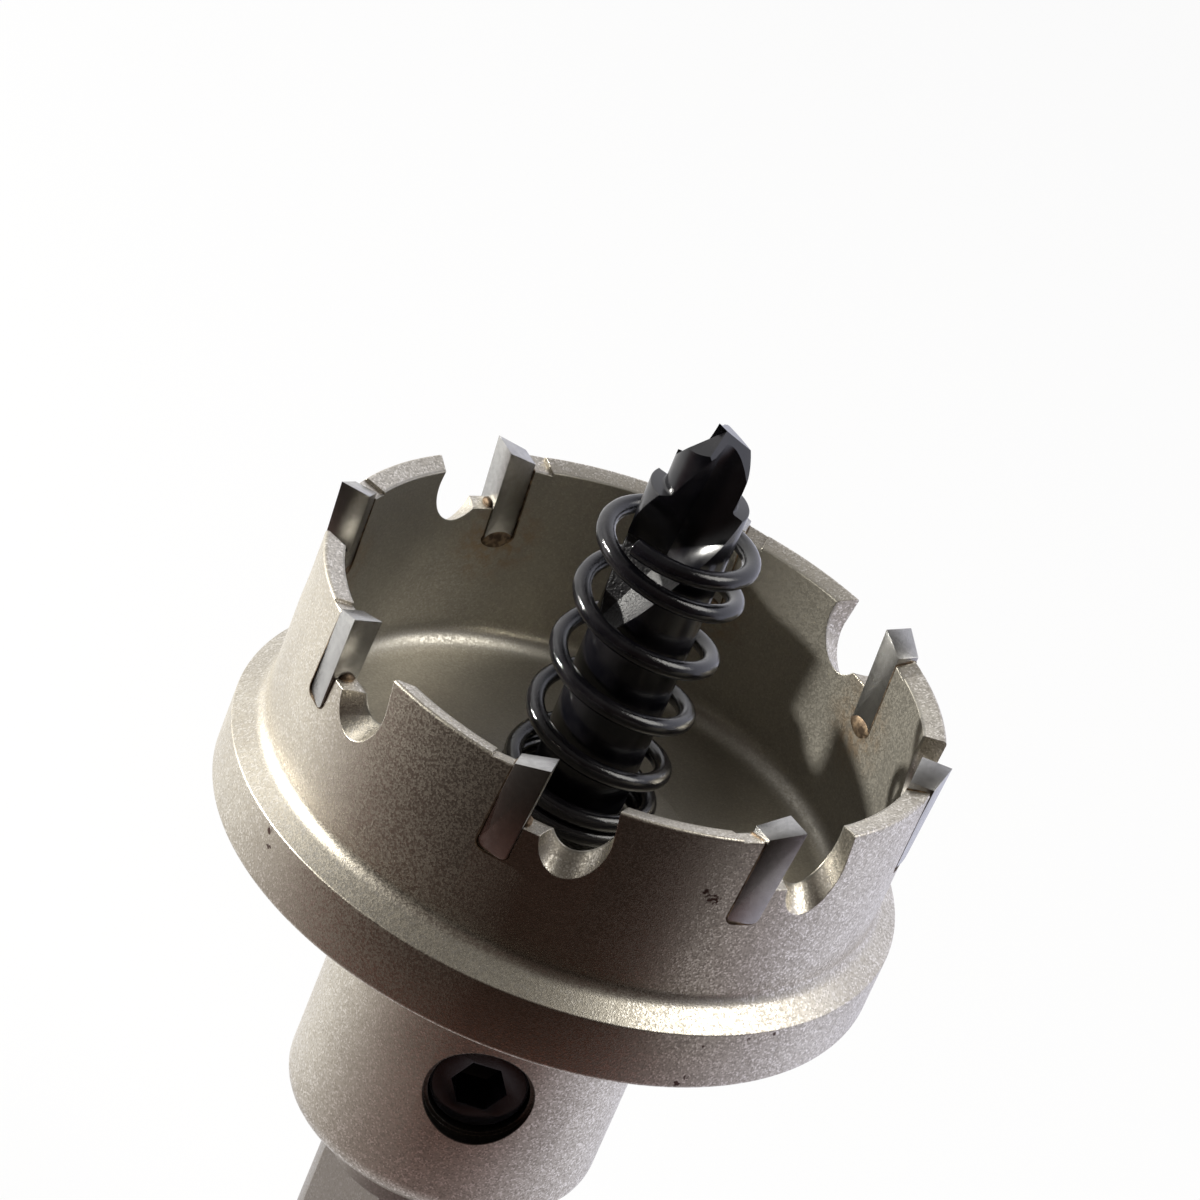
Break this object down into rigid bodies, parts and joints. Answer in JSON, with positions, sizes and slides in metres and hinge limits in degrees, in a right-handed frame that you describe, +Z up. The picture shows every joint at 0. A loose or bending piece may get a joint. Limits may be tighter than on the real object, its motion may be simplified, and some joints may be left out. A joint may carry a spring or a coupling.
{
  "type": "carbide-tipped hole saw",
  "caption": "Hole saw for sheet metal: a steel cup with brazed carbide tips, stop flange, pilot drill, ejector spring and three-flat shank.",
  "frame": {"origin": "centre of the shank's end face, where the tool's axis leaves it", "axes": "+Z up the tool's axis from the shank's end to the pilot drill's point, +X to the right and +Y to the back in the picture's view"},
  "size_m": [0.0554, 0.0554, 0.1005],
  "materials": {
    "body_steel": "bead-blasted nickel plate, satin, warm grey",
    "carbide": "ground tungsten carbide",
    "black_steel": "black oxide, oiled, semi-gloss"
  },
  "bodies": {
    "root": {"cutter_body": "body_steel", "carbide_tip_1": "carbide", "carbide_tip_2": "carbide", "carbide_tip_3": "carbide", "carbide_tip_4": "carbide", "carbide_tip_5": "carbide", "carbide_tip_6": "carbide", "carbide_tip_7": "carbide", "carbide_tip_8": "carbide", "pilot_drill": "black_steel", "ejector_spring": "black_steel", "set_screw": "black_steel"}
  },
  "joints": []
}
